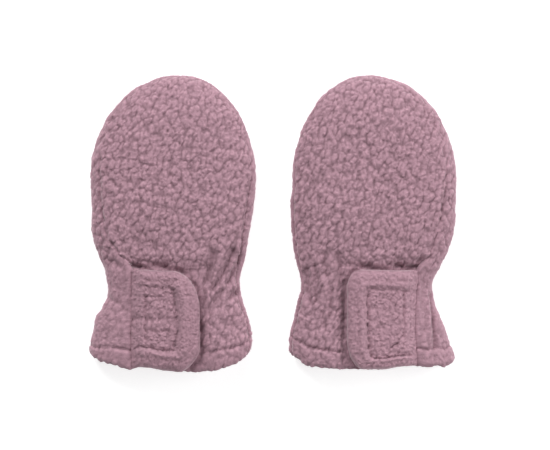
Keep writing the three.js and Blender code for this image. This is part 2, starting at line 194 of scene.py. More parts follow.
LEFT = {
    "name": "left",
    "hand": 1,
    "centre": -53.55,
    "tip_rise": 54.8,
    "tip_lean": 3.8,
    "tip_inset": 1.0,
    "seam_fade": 5,
    "reach": 14.7,
    "top_corner": (17, 19.5, 2),
    "bottom_corner": (9.7, 7, 1.3),
    "sections": np.array(LEFT_SECTIONS),
    "creases": LEFT_CREASES,
    "hem": np.array(LEFT_HEM),
    "margins": (12.4, 7.7, 6.8),
    "field_corner": (-14.2, -37.3),
    "flap_folds": LEFT_FLAP_FOLDS,
    "swells": LEFT_SWELLS,
    "flap_shade": -0.05,
    "seed": 11,
}
RIGHT = {
    "name": "right",
    "hand": -1,
    "centre": 54.35,
    "tip_rise": 57.4,
    "tip_lean": 3.2,
    "tip_inset": 1.0,
    "seam_fade": 1.6,
    "reach": 14.9,
    "top_corner": (8.3, 9, 2),
    "bottom_corner": (8.6, 14, 1.7),
    "sections": np.array(RIGHT_SECTIONS),
    "creases": RIGHT_CREASES,
    "hem": np.array(RIGHT_HEM),
    "margins": (10.6, 9.4, 6.2),
    "field_corner": (-15.0, -10.0),
    "flap_folds": RIGHT_FLAP_FOLDS,
    "swells": RIGHT_SWELLS,
    "flap_shade": 0.11,
    "seed": 47,
}
MITTENS = (LEFT, RIGHT)


def ease(t):
    x = np.clip(t, 0, 1)
    return x * x * (3 - 2 * x)


def mix(a, b, t):
    return a + (b - a) * t


def bell(distance, width):
    return np.exp(-((distance / width) ** 2))


def unit(vectors):
    return vectors / np.maximum(np.linalg.norm(vectors, axis=-1, keepdims=True), 1e-12)


# The mitten's form


def sections_at(mitten, y):
    """The section's columns at each height, carried smoothly from row to row."""
    rows = mitten["sections"]
    last = len(rows) - 1
    y = np.asarray(y, float)
    k = (y[..., None] < rows[1:last, 0]).sum(-1)
    r0, r1, r2, r3 = (rows[np.clip(k + i, 0, last)] for i in (-1, 0, 1, 2))
    span = (r2 - r1)[..., :1]
    t = np.clip((y[..., None] - r1[..., :1]) / span, 0, 1)
    s1 = (r2 - r0) / (r2 - r0)[..., :1] * span
    s2 = (r3 - r1) / (r3 - r1)[..., :1] * span
    rest = r1 * (1 + 2 * t) * (1 - t) ** 2 + r2 * t * t * (3 - 2 * t)
    out = rest + s1 * t * (1 - t) ** 2 - s2 * t * t * (1 - t)
    names = ("slit", "far", "slit_seam", "far_seam", "height", "sag", "hang")
    return {name: out[..., i + 1] for i, name in enumerate(names)}


def pillow_top(mitten, y, share, up):
    """A point of the pillow's top, from the row's height and the part of the half width and of the tip."""
    row = sections_at(mitten, y)
    radius = np.minimum(1, np.hypot(share, up))
    half = np.where(share < 0, row["slit"], row["far"])
    sagged = y - row["sag"] * (1 - share**4) + row["hang"] * share**3
    x = share * half + mitten["tip_lean"] * up**6
    z = mix(SIDE_HEIGHT, row["height"], np.sqrt(1 - radius**PILLOW_POWER))
    return np.stack(np.broadcast_arrays(x, sagged + up * mitten["tip_rise"], z), -1)


def pillow_normal(mitten, y, share, up):
    by = 1e-3
    inside = np.minimum(1, 0.995 / np.maximum(by, np.hypot(share, up)))
    s, u = share * inside, up * inside
    across = pillow_top(mitten, y, s + by, u) - pillow_top(mitten, y, s - by, u)
    in_tip = pillow_top(mitten, y, s, u + by) - pillow_top(mitten, y, s, u - by)
    below = pillow_top(mitten, y + 0.1, s, 0 * u) - pillow_top(mitten, y - 0.1, s, 0 * u)
    return unit(np.cross(across, np.where((u > 0)[..., None], in_tip, below)))


def wall_at(y):
    return mix(WALL, HEM_WALL, ease((HEM_STITCH + 1 - y) / 3))


def front_depth(mitten, x, y):
    """How deep the front lies under the pillow's top: pressed in by the flap, tucked under the slit edge."""
    seam = sections_at(mitten, y)["slit_seam"]
    at_slit = 1 - ease((x + seam) / 12)
    under_flap = 1 - ease((x - mitten["reach"] - 0.5) / 7)
    depth = mix(FLAP_DIP * under_flap, wall_at(y) + SEAM_GAP, at_slit)
    return depth * (1 - ease((y - SLIT_TOP) / DIP_LENGTH))


def slit_end(mitten, x, y, level):
    """1 where the front passes under the slit's top end, and 0 away from it."""
    across = 1 - ease((x + sections_at(mitten, y)["slit_seam"] - 1.2) / 2.5)
    along = ease((SLIT_TOP + DIP_LENGTH + 1 - y) / 1.5) * ease((y - SLIT_TOP + 7) / 2)
    return np.where(level > 0, 0, across * along)


def furrows(table, x, y):
    """The depth of a table's creases at each place."""
    depth = np.zeros(np.broadcast(x, y).shape)
    for x0, y0, x1, y1, width, deep in table:
        dx, dy = x1 - x0, y1 - y0
        along = np.clip(((x - x0) * dx + (y - y0) * dy) / (dx * dx + dy * dy), 0, 1)
        away = np.hypot(x - x0 - along * dx, y - y0 - along * dy)
        depth = np.maximum(depth, deep * bell(away, width))
    return depth


def swell_height(mitten, x, y):
    """The broad hollow and the puff over the flap's top edge."""
    return sum(high * bell(np.hypot(x - x0, y - y0), width) for x0, y0, width, high in mitten["swells"])


def hem_relief(base, y):
    """The turned hem stands out below its stitching, which pulls in an uneven furrow."""
    pull = 0.85 + 0.45 * soft_noise(base, 3.5, 5)
    return 0.5 * ease((HEM_STITCH - y) / 1.2) - pull * bell(y - HEM_STITCH, 0.9)


def grid_lines(mitten, at):
    """The row's height and the tip's level for each grid line, from the hem at -1 to the tip's end at 1."""
    top, hem = mitten["sections"][0, 0], mitten["sections"][-1, 0]
    return mix(top, hem, -np.minimum(at, 0)), np.maximum(at, 0)


def tip_plan(across, level):
    return across * np.sqrt(1 - level * level / 2), level * np.sqrt(1 - across * across / 2)


def seam_share(mitten, y, to_far, to_tip):
    row = sections_at(mitten, y)
    half = np.where(to_far < 0, row["slit"], row["far"])
    seam = np.where(to_far < 0, row["slit_seam"], row["far_seam"])
    side = np.where(to_tip > 0, np.abs(to_far) ** mitten["seam_fade"], 1)
    return 1 - mix(mitten["tip_inset"] / mitten["tip_rise"], 1 - seam / half, side), half


def front_form(mitten, across, at):
    """The front panel's face, the way out of it, and its place in plan, over a grid."""
    across, at = np.meshgrid(across, at)
    y, level = grid_lines(mitten, at)
    share, up = tip_plan(across, level)
    radius = np.maximum(1e-9, np.hypot(share, up))
    reach, _ = seam_share(mitten, y, share / radius, up / radius)
    half = np.where(share < 0, sections_at(mitten, y)["slit"], sections_at(mitten, y)["far"])
    underlap = np.where(share < 0, UNDERLAP * ease((SLIT_TOP + UNDERLAP_START - y) / 4), 0)
    reach = reach + (underlap - SEAM_SHUT / 2) / half
    point = pillow_top(mitten, y, share * reach, up * reach)
    normal = pillow_normal(mitten, y, share * reach, up * reach)
    depth = np.where(level > 0, 0, front_depth(mitten, share * reach * half, y))
    return point - normal * depth[..., None], normal, y, level


def back_surface(mitten, across, at):
    y, level = grid_lines(mitten, at)
    share, up = tip_plan(across, level)
    radius = np.maximum(1e-9, np.hypot(share, up))
    to_far, to_tip = share / radius, up / radius
    reach, half = seam_share(mitten, y, to_far, to_tip)
    height = sections_at(mitten, y)["height"]
    flat = 1 - SIDE_CURL / mix(half, mitten["tip_rise"], to_tip)
    seam = np.minimum(reach + SEAM_SHUT / 2 / half, 1)
    over = (radius - CURL_SHARE) / (1 - CURL_SHARE) * np.arccos(seam**2)
    under = (radius - FLAT_SHARE) / (CURL_SHARE - FLAT_SHARE) * math.pi / 2
    wrapped, curled = radius > CURL_SHARE, radius > FLAT_SHARE
    out = np.where(curled, mix(flat, 1, np.sin(under)), radius / FLAT_SHARE * flat)
    out = np.where(wrapped, np.sqrt(np.cos(np.where(wrapped, over, 0))), out)
    z = np.where(curled, SIDE_HEIGHT * (1 - np.cos(under)), 0)
    z = np.where(wrapped, mix(SIDE_HEIGHT, height, np.sin(over)), z)
    point = pillow_top(mitten, y, to_far * out, to_tip * out)
    point[..., 2] = z
    return point


def back_form(mitten, across, at):
    across, at = np.meshgrid(across, at)
    step = 1e-3
    by_across = back_surface(mitten, across + step, at) - back_surface(mitten, across - step, at)
    by_along = back_surface(mitten, across, at + step) - back_surface(mitten, across, at - step)
    y, level = grid_lines(mitten, at)
    return back_surface(mitten, across, at), unit(np.cross(by_along, by_across)), y, level


def corner_inset(corner, from_edge):
    across, up, full = corner
    left = 1 - np.clip(from_edge / up, 0, 1)
    return across * (1 - (1 - left**full) ** (1 / full))


def flap_plan(mitten, across, y):
    """Each place across the flap, and how far it is from the free edges, in mm and margins, and the seam."""
    bottom = mitten["sections"][-1, 0]
    seam = -sections_at(mitten, y)["slit_seam"] + SEAM_SHUT / 2
    end = mitten["reach"] - corner_inset(mitten["top_corner"], FLAP_TOP - y)
    end = end - corner_inset(mitten["bottom_corner"], y - bottom)
    x = mix(seam, end, across)
    rim = np.minimum(np.minimum(end - x, FLAP_TOP - y), (y - bottom) * 1.5)
    side, top, low = mitten["margins"]
    inward = np.minimum(np.minimum((end - x) / side, (FLAP_TOP - y) / top), (y - bottom) / low)
    return x, np.maximum(0, rim), np.maximum(0, inward), x - seam


def beside_flap(mitten, x, y):
    """How far each place lies from the flap's free edges."""
    heights = np.linspace(mitten["sections"][-1, 0] - 2, FLAP_TOP, 90)
    ends = flap_plan(mitten, np.ones(90), heights)[0]
    seam = -sections_at(mitten, np.array(FLAP_TOP))["slit_seam"]
    along_top = np.linspace(seam, ends[-1], 40)
    edge_x = np.concatenate([ends, along_top])
    edge_y = np.concatenate([heights, np.full(40, FLAP_TOP)])
    away = np.full(x.shape, 99.0)
    for place_x, place_y in zip(edge_x, edge_y):
        away = np.minimum(away, np.hypot(x - place_x, y - place_y))
    return away


def flap_form(mitten, across, heights):
    """The flap's upper and under faces over a grid."""
    across, y = np.meshgrid(across, heights)
    x, rim, inward, from_seam = flap_plan(mitten, across, y)
    row = sections_at(mitten, y)
    share = x / np.where(x < 0, row["slit"], row["far"])
    joined = ease(from_seam / 7)
    bulge = FLAP_BULGE * np.sin(math.pi * np.minimum(1, inward)) ** 0.8
    rounded = 1.9 * (1 - np.sqrt(1 - (1 - np.minimum(1, rim / 2.8)) ** 2))
    over_hook = ease((rim - 5) / 3) * joined * (HOOK_WALL + SEAM_GAP)
    padded = mix(wall_at(y), FLAP_WALL, joined) + bulge * joined
    under = SEAM_GAP + over_hook + rounded * 0.5 - front_depth(mitten, x, y)
    point = pillow_top(mitten, y, share, 0 * share)
    normal = pillow_normal(mitten, y, share, 0 * share)
    top = point + normal * (under + padded - rounded * 1.5)[..., None]
    return top, point + normal * under[..., None], normal, x, y


# Curls and other small relief


def lattice(seed, shape):
    return np.random.default_rng(seed).random(shape)


def soft_noise(points, size, seed):
    """Smooth noise from -1 to 1 over points, with lumps of about that size."""
    p = points / size + 1000.37
    base = np.floor(p).astype(int)
    t = p - base
    t = t * t * (3 - 2 * t)
    table = lattice(seed, (64, 64, 64)) * 2 - 1
    out = np.zeros(p.shape[:-1])
    for corner in np.ndindex(2, 2, 2):
        at = (base + corner) % 64
        weight = np.prod(np.where(np.array(corner) == 1, t, 1 - t), -1)
        out += weight * table[at[..., 0], at[..., 1], at[..., 2]]
    return out


def domes(points, size, seed, lowest):
    """Round heads of uneven heights, one to a cell, where the highest covers the others."""
    p = points / size + 1000.0
    base = np.floor(p).astype(int)
    part = p - base
    spots = lattice(seed, (48, 48, 48, 4))
    top = np.full(p.shape[:-1], -1.0)
    for step in np.ndindex(3, 3, 3):
        offset = np.array(step) - 1
        at = (base + offset) % 48
        spot = spots[at[..., 0], at[..., 1], at[..., 2]]
        away = ((spot[..., :3] + offset - part) ** 2).sum(-1)
        top = np.maximum(top, mix(lowest, 1.0, spot[..., 3]) - 1.7 * away)
    return top


def curl_relief(points, seed, size, hand):
    """Curls of the pile, from 0 in the crevices to 1.2 at most, leaning the same way on both mittens."""
    wander = np.stack([soft_noise(points, 2.6, seed + i) for i in (1, 2, 3)], -1)
    strayed = points + wander * 0.6
    turned = strayed.copy()
    side, up = strayed[..., 0] * hand, strayed[..., 1]
    turned[..., 0] = side * math.cos(CURL_LEAN) - up * math.sin(CURL_LEAN)
    turned[..., 1] = (up * math.cos(CURL_LEAN) + side * math.sin(CURL_LEAN)) / CURL_STRETCH
    large = domes(turned, size, seed + 4, 0.7)
    small = domes(turned + 7.7, size * 0.6, seed + 5, 0.6)
    return np.clip(0.15 + large * 0.8 + small * 0.25, 0, 1.2)


def short_pile(points, seed):
    """The fine unevenness between and over the curls."""
    return soft_noise(points, 1.3, seed + 30) * 0.16 + soft_noise(points, 0.8, seed + 31) * 0.16


def crevices(relief, reach):
    """How far each grid point lies below its neighbours' mean, out to that many points."""
    mean = relief.copy()
    for axis in (0, 1):
        wide = [(reach, reach) if a == axis else (0, 0) for a in (0, 1)]
        total = np.cumsum(np.pad(mean, wide, mode="edge"), axis)
        count = 2 * reach + 1
        ends = np.take(total, range(count - 1, total.shape[axis]), axis)
        starts = np.take(total, range(0, total.shape[axis] - count), axis)
        lead = [(1, 0) if a == axis else (0, 0) for a in (0, 1)]
        mean = (ends - np.pad(starts, lead)) / count
    return mean - relief


def rim_calm(normal):
    """How much of the curls is left where the cloth turns down at the sides."""
    return mix(0.35, 1, ease((normal[..., 2] - 0.4) / 0.5))


def edge_distances(grid):
    """How far each grid point lies from the first and last column and row, over the cloth."""
    across = np.linalg.norm(np.diff(grid, axis=1), axis=-1)
    along = np.linalg.norm(np.diff(grid, axis=0), axis=-1)
    left = np.pad(np.cumsum(across, 1), ((0, 0), (1, 0)))
    low = np.pad(np.cumsum(along, 0), ((1, 0), (0, 0)))
    return left, left[:, -1:] - left, low, low[-1:] - low


def spread(stops, spacing):
    """Grid values through the stops, (value, length to the next in mm), at about the spacing.

    Their number between two stops is a multiple of the coarse step.
    """
    values = []
    for (start, length), (end, _) in zip(stops, stops[1:]):
        count = max(COARSE, COARSE * round(length / spacing / COARSE))
        values.extend(np.linspace(start, end, count, endpoint=False))
    return np.array(values + [stops[-1][0]])


# Meshes


def placed(mitten, points):
    """Points of a mitten's own frame in the pair's frame, in metres, all a little astray as sewn cloth is."""
    out = np.array(points, float)
    at_hem = ease((-58 - out[..., 1]) / 12)
    out[..., 1] += np.interp(points[..., 0], *mitten["hem"].T) * at_hem
    for axis in (0, 1):
        stray = soft_noise(points, 13.0, mitten["seed"] + 60 + axis) * 0.3
        out[..., axis] += stray + soft_noise(points, 4.5, mitten["seed"] + 62 + axis) * 0.25
    out[..., 0] = out[..., 0] * mitten["hand"] + mitten["centre"]
    return out * MM


def ring(columns, rows):
    """A grid's border, as places in it, once round."""
    grid = np.arange(columns * rows).reshape(rows, columns)
    return np.concatenate([grid[0, :-1], grid[:-1, -1], grid[-1, :0:-1], grid[:0:-1, 0]])


def grid_faces(columns, rows):
    grid = np.arange(columns * rows).reshape(rows, columns)
    corners = [grid[:-1, :-1], grid[:-1, 1:], grid[1:, 1:], grid[1:, :-1]]
    return np.stack([c.ravel() for c in corners], -1)


def cloth_shell(outer, inner, flip):
    """Points and faces of a closed wall: a fine outer grid joined round its border to a coarse inner grid."""
    rows, columns = outer.shape[:2]
    inner_rows, inner_columns = inner.shape[:2]
    start = rows * columns
    quads = [grid_faces(columns, rows), grid_faces(inner_columns, inner_rows)[:, ::-1] + start]
    fine, coarse = ring(columns, rows), ring(inner_columns, inner_rows) + start
    step = len(fine) // len(coarse)
    ahead = np.roll(fine, -1)
    here, there = np.repeat(coarse, step), np.repeat(np.roll(coarse, -1), step)
    first = np.arange(len(fine)) % step < step // 2
    fans = np.stack([ahead, fine, np.where(first, here, there)], -1)
    middles = np.stack([coarse, np.roll(coarse, -1), fine[step // 2 :: step]], -1)
    quads, triangles = np.concatenate(quads), np.concatenate([fans, middles])
    if flip:
        quads, triangles = quads[:, ::-1], triangles[:, ::-1]
    return np.concatenate([outer.reshape(-1, 3), inner.reshape(-1, 3)]), quads, triangles


def mesh_piece(name, points, quads, triangles, material, **marks):
    """A mesh object from arrays, in metres, with one number a point for each mark."""
    mesh = bpy.data.meshes.new(name)
    mesh.vertices.add(len(points))
    mesh.vertices.foreach_set("co", np.ascontiguousarray(points, np.float32).ravel())
    corners = np.concatenate([np.ravel(quads), np.ravel(triangles)]).astype(np.int32)
    ends = len(quads) * 4
    starts = np.concatenate([np.arange(len(quads)) * 4, ends + np.arange(len(triangles)) * 3])
    mesh.loops.add(len(corners))
    mesh.loops.foreach_set("vertex_index", corners)
    mesh.polygons.add(len(starts))
    mesh.polygons.foreach_set("loop_start", starts.astype(np.int32))
    mesh.update(calc_edges=True)
    for mark, values in marks.items():
        layer = mesh.attributes.new(mark, "FLOAT", "POINT")
        layer.data.foreach_set("value", np.ascontiguousarray(values, np.float32).ravel())
    mesh.shade_smooth()
    mesh.materials.append(material)
    piece = bpy.data.objects.new(name, mesh)
    bpy.context.scene.collection.objects.link(piece)
    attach(piece, "root")
    return piece


OUTER_FACES = {}
STITCH_LINES = {"left": [], "right": []}


def curled_shell(mitten, name, base, normal, relief, out, inner, facing, material, shade):
    """A cloth piece whose outer face stands out by the curls, kept above the surface that it lies on."""
    outer = base + normal * out[..., None]
    outer[..., 2] = np.maximum(outer[..., 2], TABLE_GAP)
    flip = facing * mitten["hand"] < 0
    points, quads, triangles = cloth_shell(placed(mitten, outer), placed(mitten, inner), flip)
    inside = np.full(inner.shape[0] * inner.shape[1], INNER_TONE)
    # Painted light and shade in the curl mark: paler on the curls' tops, painted shade in the crevices
    # between them and, through shade, in folds and seams, and painted light on the rim where the cloth turns
    # down.
    rim = 1 - ease((normal[..., 2] - 0.1) / 0.85)
    tone = 0.54 + shade + relief * 0.36 - crevices(relief, 3) * 1.2 + rim * 0.22
    marks = np.concatenate([np.clip(tone, 0, 1).ravel(), inside])
    OUTER_FACES[name] = (outer, normal)
    return mesh_piece(name, points, quads, triangles, material, curl=marks)


# Materials


class Socket:
    """A shader socket that takes part in sums."""

    def __init__(self, tree, socket):
        self.tree, self.socket = tree, socket

    def maths(self, operation, *values):
        return self.tree.node("ShaderNodeMath", {"operation": operation}, dict(enumerate(values)))

    def __add__(self, other):
        return self.maths("ADD", self, other)

    def __radd__(self, other):
        return self.maths("ADD", other, self)

    def __sub__(self, other):
        return self.maths("SUBTRACT", self, other)

    def __rsub__(self, other):
        return self.maths("SUBTRACT", other, self)

    def __mul__(self, other):
        return self.maths("MULTIPLY", self, other)

    def __rmul__(self, other):
        return self.maths("MULTIPLY", other, self)


class Finish:
    """A material's node tree."""

    def __init__(self, name):
        self.material = bpy.data.materials.new(name)
        self.material.use_nodes = True
        self.nodes = self.material.node_tree.nodes
        self.links = self.material.node_tree.links
        self.nodes.clear()

    def node(self, kind, settings=None, values=None, output=0):
        made = self.nodes.new(kind)
        for key, value in (settings or {}).items():
            setattr(made, key, value)
        for key, value in (values or {}).items():
            if isinstance(value, Socket):
                self.links.new(value.socket, made.inputs[key])
            else:
                made.inputs[key].default_value = value
        return Socket(self, made.outputs[output])

    def place(self):
        """The point in the piece's own coordinates."""
        return self.node("ShaderNodeTexCoord", None, None, 3)

    def blend(self, factor, first, second):
        """One colour over another by a factor."""
        return self.node("ShaderNodeMix", {"data_type": "RGBA"}, {0: factor, 6: first, 7: second}, 2)

    def bump(self, strength, distance, height):
        """The way out of a surface that is raised by the height, for a distance in millimetres."""
        values = {"Strength": strength, "Distance": distance * MM, "Height": height}
        return self.node("ShaderNodeBump", None, values)

    def noise(self, place, size, detail=3.0, rough=0.55):
        """Noise about a half, with lumps of that size in millimetres."""
        values = {"Vector": place, "Scale": 1 / (size * MM), "Detail": detail, "Roughness": rough}
        return self.node("ShaderNodeTexNoise", None, values)

    def surface(self, values):
        shader = self.node("ShaderNodeBsdfPrincipled", None, values)
        end = self.nodes.new("ShaderNodeOutputMaterial")
        self.links.new(shader.socket, end.inputs["Surface"])
        return self.material


def lit(colour, by):
    """A colour made lighter or darker, as a shader takes it."""
    return (*(min(1.0, c * by) for c in colour[:3]), 1.0)


def wool_finish(name, colour, contrast, curl_bump):
    """Pile: painted shade between the curls and painted light on them, as a shaded and a lit copy of the
    colour blended by the curl mark, with fine fibres and a soft sheen.
    """
    finish = Finish(name)
    place = finish.place()
    # The curl mark carries painted light and shade: pale curl tops, painted shade in crevices, folds and
    # seams, painted light on the rims.
    curl = finish.node("ShaderNodeAttribute", {"attribute_name": "curl"}, None, 2)
    fibres = finish.noise(place, 0.6, 4.0, 0.75)
    patches = finish.noise(place, 14.0, 2.0)
    shade = (curl - 0.5) * contrast + (fibres - 0.5) * 0.6 + (patches - 0.5) * 0.08 + 0.5
    base = finish.blend(shade, lit(colour, 0.62), lit(colour, 1.3))
    tangled = finish.node(
        "ShaderNodeTexVoronoi",
        {"feature": "SMOOTH_F1"},
        {"Vector": place, "Scale": 1 / (0.75 * MM), "Smoothness": 0.6},
    )
    height = fibres * 0.6 + tangled * -0.5
    bump = finish.bump(curl_bump, 0.35, height)
    rough = 0.86 + (fibres - 0.5) * 0.16
    return finish.surface(
        {
            "Base Color": base,
            "Roughness": rough,
            "Normal": bump,
            "Specular IOR Level": 0.18,
            "Sheen Weight": 0.5,
            "Sheen Roughness": 0.45,
            "Sheen Tint": (1.0, 0.95, 0.97, 1.0),
        }
    )


def tape_finish(name, colour):
    """Woven tape with rows of small hooks."""
    finish = Finish(name)
    place = finish.place()
    waves = [
        finish.node(
            "ShaderNodeTexWave",
            {"bands_direction": way},
            {"Vector": place, "Scale": 1 / (1.1 * MM) / 6.28, "Distortion": 0.4},
            1,
        )
        for way in ("X", "Y")
    ]
    hooks = waves[0] * waves[1]
    grain = finish.noise(place, 0.3)
    base = finish.blend(hooks * 0.7 + grain * 0.3, lit(colour, 0.62), lit(colour, 1.25))
    bump = finish.bump(0.5, 0.3, hooks)
    return finish.surface({"Base Color": base, "Roughness": 0.6 + grain * 0.2, "Normal": bump})


def thread_finish(name, colour):
    finish = Finish(name)
    place = finish.place()
    twist = finish.noise(place, 0.25, 2.0)
    base = finish.blend(twist, lit(colour, 0.7), lit(colour, 1.15))
    bump = finish.bump(0.3, 0.1, twist)
    return finish.surface({"Base Color": base, "Roughness": 0.62, "Normal": bump, "Sheen Weight": 0.2})


def floor_finish(name, glow):
    """A white studio table that is lit to white, where only the closest shade shows."""
    finish = Finish(name)
    place = finish.place()
    grain = finish.noise(place, 3.0)
    rough = 0.9 + (grain - 0.5) * 0.06
    values = {
        "Base Color": (0.6, 0.6, 0.6, 1),
        "Roughness": rough,
        "Specular IOR Level": 0.0,
        "Emission Color": (1, 1, 1, 1),
        "Emission Strength": glow,
    }
    return finish.surface(values)


# Sizes and colours that a user would change


def number(name, description, default, **kind):
    return bpy.props.FloatProperty(name=name, description=description, default=default, **kind)


def colour(name, description, default):
    kind = {"subtype": "COLOR", "size": 3, "min": 0, "max": 1}
    return bpy.props.FloatVectorProperty(name=name, description=description, default=default, **kind)


class WoolSettings(bpy.types.PropertyGroup):
    """The fleece"""

    wool_colour: colour("Wool", "Colour of the fleece", (0.41, 0.241, 0.292))
    curl_size: number("Curl size", "How far apart the curls stand", 0.0025, unit="LENGTH")
    curl_height: number(
        "Curl height", "How far the curls stand out of the crevices between them", 0.00108, unit="LENGTH"
    )
    fine_step: number("Fine step", "Spacing of the points that carry the curls", 0.0004, unit="LENGTH")
    fuzz_length: number(
        "Fuzz length", "Length of the loose fibres that stand out of the pile", 0.0013, unit="LENGTH"
    )
    fuzz_count: bpy.props.IntProperty(
        name="Fuzz count",
        description="Loose fibres on each mitten",
        default=12000,
    )


class SewingSettings(bpy.types.PropertyGroup):
    """The stitching"""

    stitch_length: number("Stitch", "Length of one stitch with the gap after it", 0.0029, unit="LENGTH")
    thread_radius: number("Thread radius", "Half the thread's thickness", 0.00018, unit="LENGTH")
    tape_colour: colour("Hook tape", "Colour of the hook patch under each flap", (0.27, 0.16, 0.2))


class StageSettings(bpy.types.PropertyGroup):
    """The table, the lights and the camera"""

    key_power: number(
        "Key light", "Power of the light beyond the fingertips, to the left", 10.5, unit="POWER"
    )
    side_power: number("Side light", "Power of the light on the right", 7.5, unit="POWER")
    tips_power: number(
        "Fingertip light", "Power of the low light beyond the fingertips", 4.5, unit="POWER"
    )
    fill: number("Fill", "Strength of the even light from all round", 0.33)
    floor_glow: number("Table glow", "How much the white table shines by itself", 0.69)
    lens: number("Lens", "Focal length in millimetres", 100.0)


# Pieces


def wool(context):
    return context.scene.mitten_wool


def wool_sizes(settings):
    """The spacing of the points, and the curls' height and size, in millimetres."""
    return settings.fine_step / MM, settings.curl_height / MM, settings.curl_size / MM


def seams_and_hem(base):
    """Each grid point's distance from the panel's seams, and from its hem's edge."""
    left, right, low, high = edge_distances(base)
    return np.minimum(np.minimum(left, right), high), low


def hem_roll(base, curls, low):
    """The hem's edge, uneven with curls."""
    rolled = base.copy()
    rolled[..., 1] += (0.35 - curls * 0.9) * bell(low, 1.8)
    return rolled


def folds(mitten, base, level, facing_up):
    """The depth of the creases below the tip, and their depth with the hollows and puffs."""
    x, y = base[..., 0], base[..., 1]
    folded = np.where(level > 0, 0, furrows(mitten["creases"], x, y)) * facing_up
    return folded, folded - np.where(level > 0, 0, swell_height(mitten, x, y)) * facing_up


def seam_valley(seam, level):
    """The groove along a panel's seams, which fades round the tip."""
    return mix(0.9, 0.15, ease(level / 0.4)) * bell(seam, 1.0)


def pile_relief(mitten, base, curls, calm, creased):
    """The curls, pressed flat in the deepest creases, with the short pile."""
    relief = (curls - CURL_MEAN) * calm * (1 - 0.5 * bell(creased - 2.6, 1.4))
    return relief + short_pile(base, mitten["seed"])


def inner_face(form, mitten, across, at, creased):
    """The inside of a panel's wall, where each crease shows in part."""
    base, normal, y, _ = form(mitten, across[::COARSE], at[::COARSE])
    depth = wall_at(y) + creased[::COARSE, ::COARSE] * CREASE_SHARE
    return base - normal * depth[..., None]


def keep_stitch_line(mitten, base, normal, out, y, shown):
    """Keeps the line of the hem's stitching over the shown columns of a panel."""
    row = np.abs(y[:, 0] - HEM_STITCH).argmin()
    line = base[row] + normal[row] * out[row][:, None]
    STITCH_LINES[mitten["name"]].append((line[shown], normal[row][shown]))


def field_line(face, normal, inward, from_seam):
    """The line of the stitching round the flap's field, from its lower seam corner round to its upper one."""
    inside = inward >= 1
    edge = np.zeros_like(inside)
    edge[1:-1, 1:-1] = inside[1:-1, 1:-1] & ~(
        inside[:-2, 1:-1] & inside[2:, 1:-1] & inside[1:-1, :-2] & inside[1:-1, 2:]
    )
    edge &= from_seam > 3
    place, out = face[edge], normal[edge]
    middle = place.mean(0)
    order = np.argsort(np.arctan2(place[:, 1] - middle[1], place[:, 0] - middle[0]))
    even = np.ones(9) / 9
    smoothed = [np.convolve(place[order][:, i], even, "valid") for i in range(3)]
    return np.stack(smoothed, -1), out[order][4:-4]


def soft_waves(base, seed):
    return soft_noise(base, 15.0, seed + 80) * 0.4 + soft_noise(base, 6.0, seed + 81) * 0.2


def back_cloth(mitten, spacing, height, size, material):
    """A back panel, down on the table and up round both sides."""
    half = spread([(0.0, 12), (FLAT_SHARE, 9.5), (CURL_SHARE, 19), (1.0, 0)], spacing)
    across = np.concatenate([-half[:0:-1], half])
    at = np.concatenate([spread([(-1.0, 96), (0.0, 0)], spacing)[:-1], half])
    base, normal, y, level = back_form(mitten, across, at)
    seam, low = seams_and_hem(base)
    curls = curl_relief(base, mitten["seed"], size, mitten["hand"])
    facing_up = ease((normal[..., 2] + 0.2) / 0.5)
    on_cuff = np.where(level > 0, 0, ease((-y - 18) / 8))
    strip = on_cuff * ease(-base[..., 0] / 8) * facing_up
    calm = rim_calm(normal) * (1 - 0.45 * strip) * (1 - 0.3 * ease((HEM_STITCH - y) / 2))
    calm = calm * (1 - 0.5 * strip * bell(seam, 4.5))
    off_floor = ease((normal[..., 2] + 0.97) / 0.5)
    folded, creased = folds(mitten, base, level, facing_up)
    valley = seam_valley(seam, level)
    relief = pile_relief(mitten, base, curls, calm, creased)
    out = relief * height * mix(0.3, 1, off_floor)
    hem = hem_relief(base, y) * mix(0.3, 1, facing_up)
    out += (hem + soft_waves(base, mitten["seed"])) * off_floor
    out -= creased
    out -= (valley + 1.2 * bell(low, 1.1)) * off_floor
    base = hem_roll(base, curls, low)
    keep_stitch_line(mitten, base, normal, out, y, np.ones(len(across), bool))
    inner = inner_face(back_form, mitten, across, at, creased)
    inner[..., 2] = np.maximum(inner[..., 2], WALL * 0.7)
    name = mitten["name"] + "_back_cloth"
    # Painted shade in the folds and along the seams' groove.
    shade = FOLD_SHADE * (folded + valley)
    piece = curled_shell(mitten, name, base, normal, relief, out, inner, -1, material, shade)
    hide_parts(mitten["name"] + "_back_panel")


class MITTENS_OT_back_panels(bpy.types.Operator):
    """Makes the back panels, which lie on the table and wrap round both sides"""

    bl_idname = "mittens.back_panels"
    bl_label = "Back panels"

    def execute(self, context):
        settings = wool(context)
        material = wool_finish("curly_wool_back", settings.wool_colour, 0.85, 0.55)
        for mitten in MITTENS:
            back_cloth(mitten, *wool_sizes(settings), material)
        return {"FINISHED"}


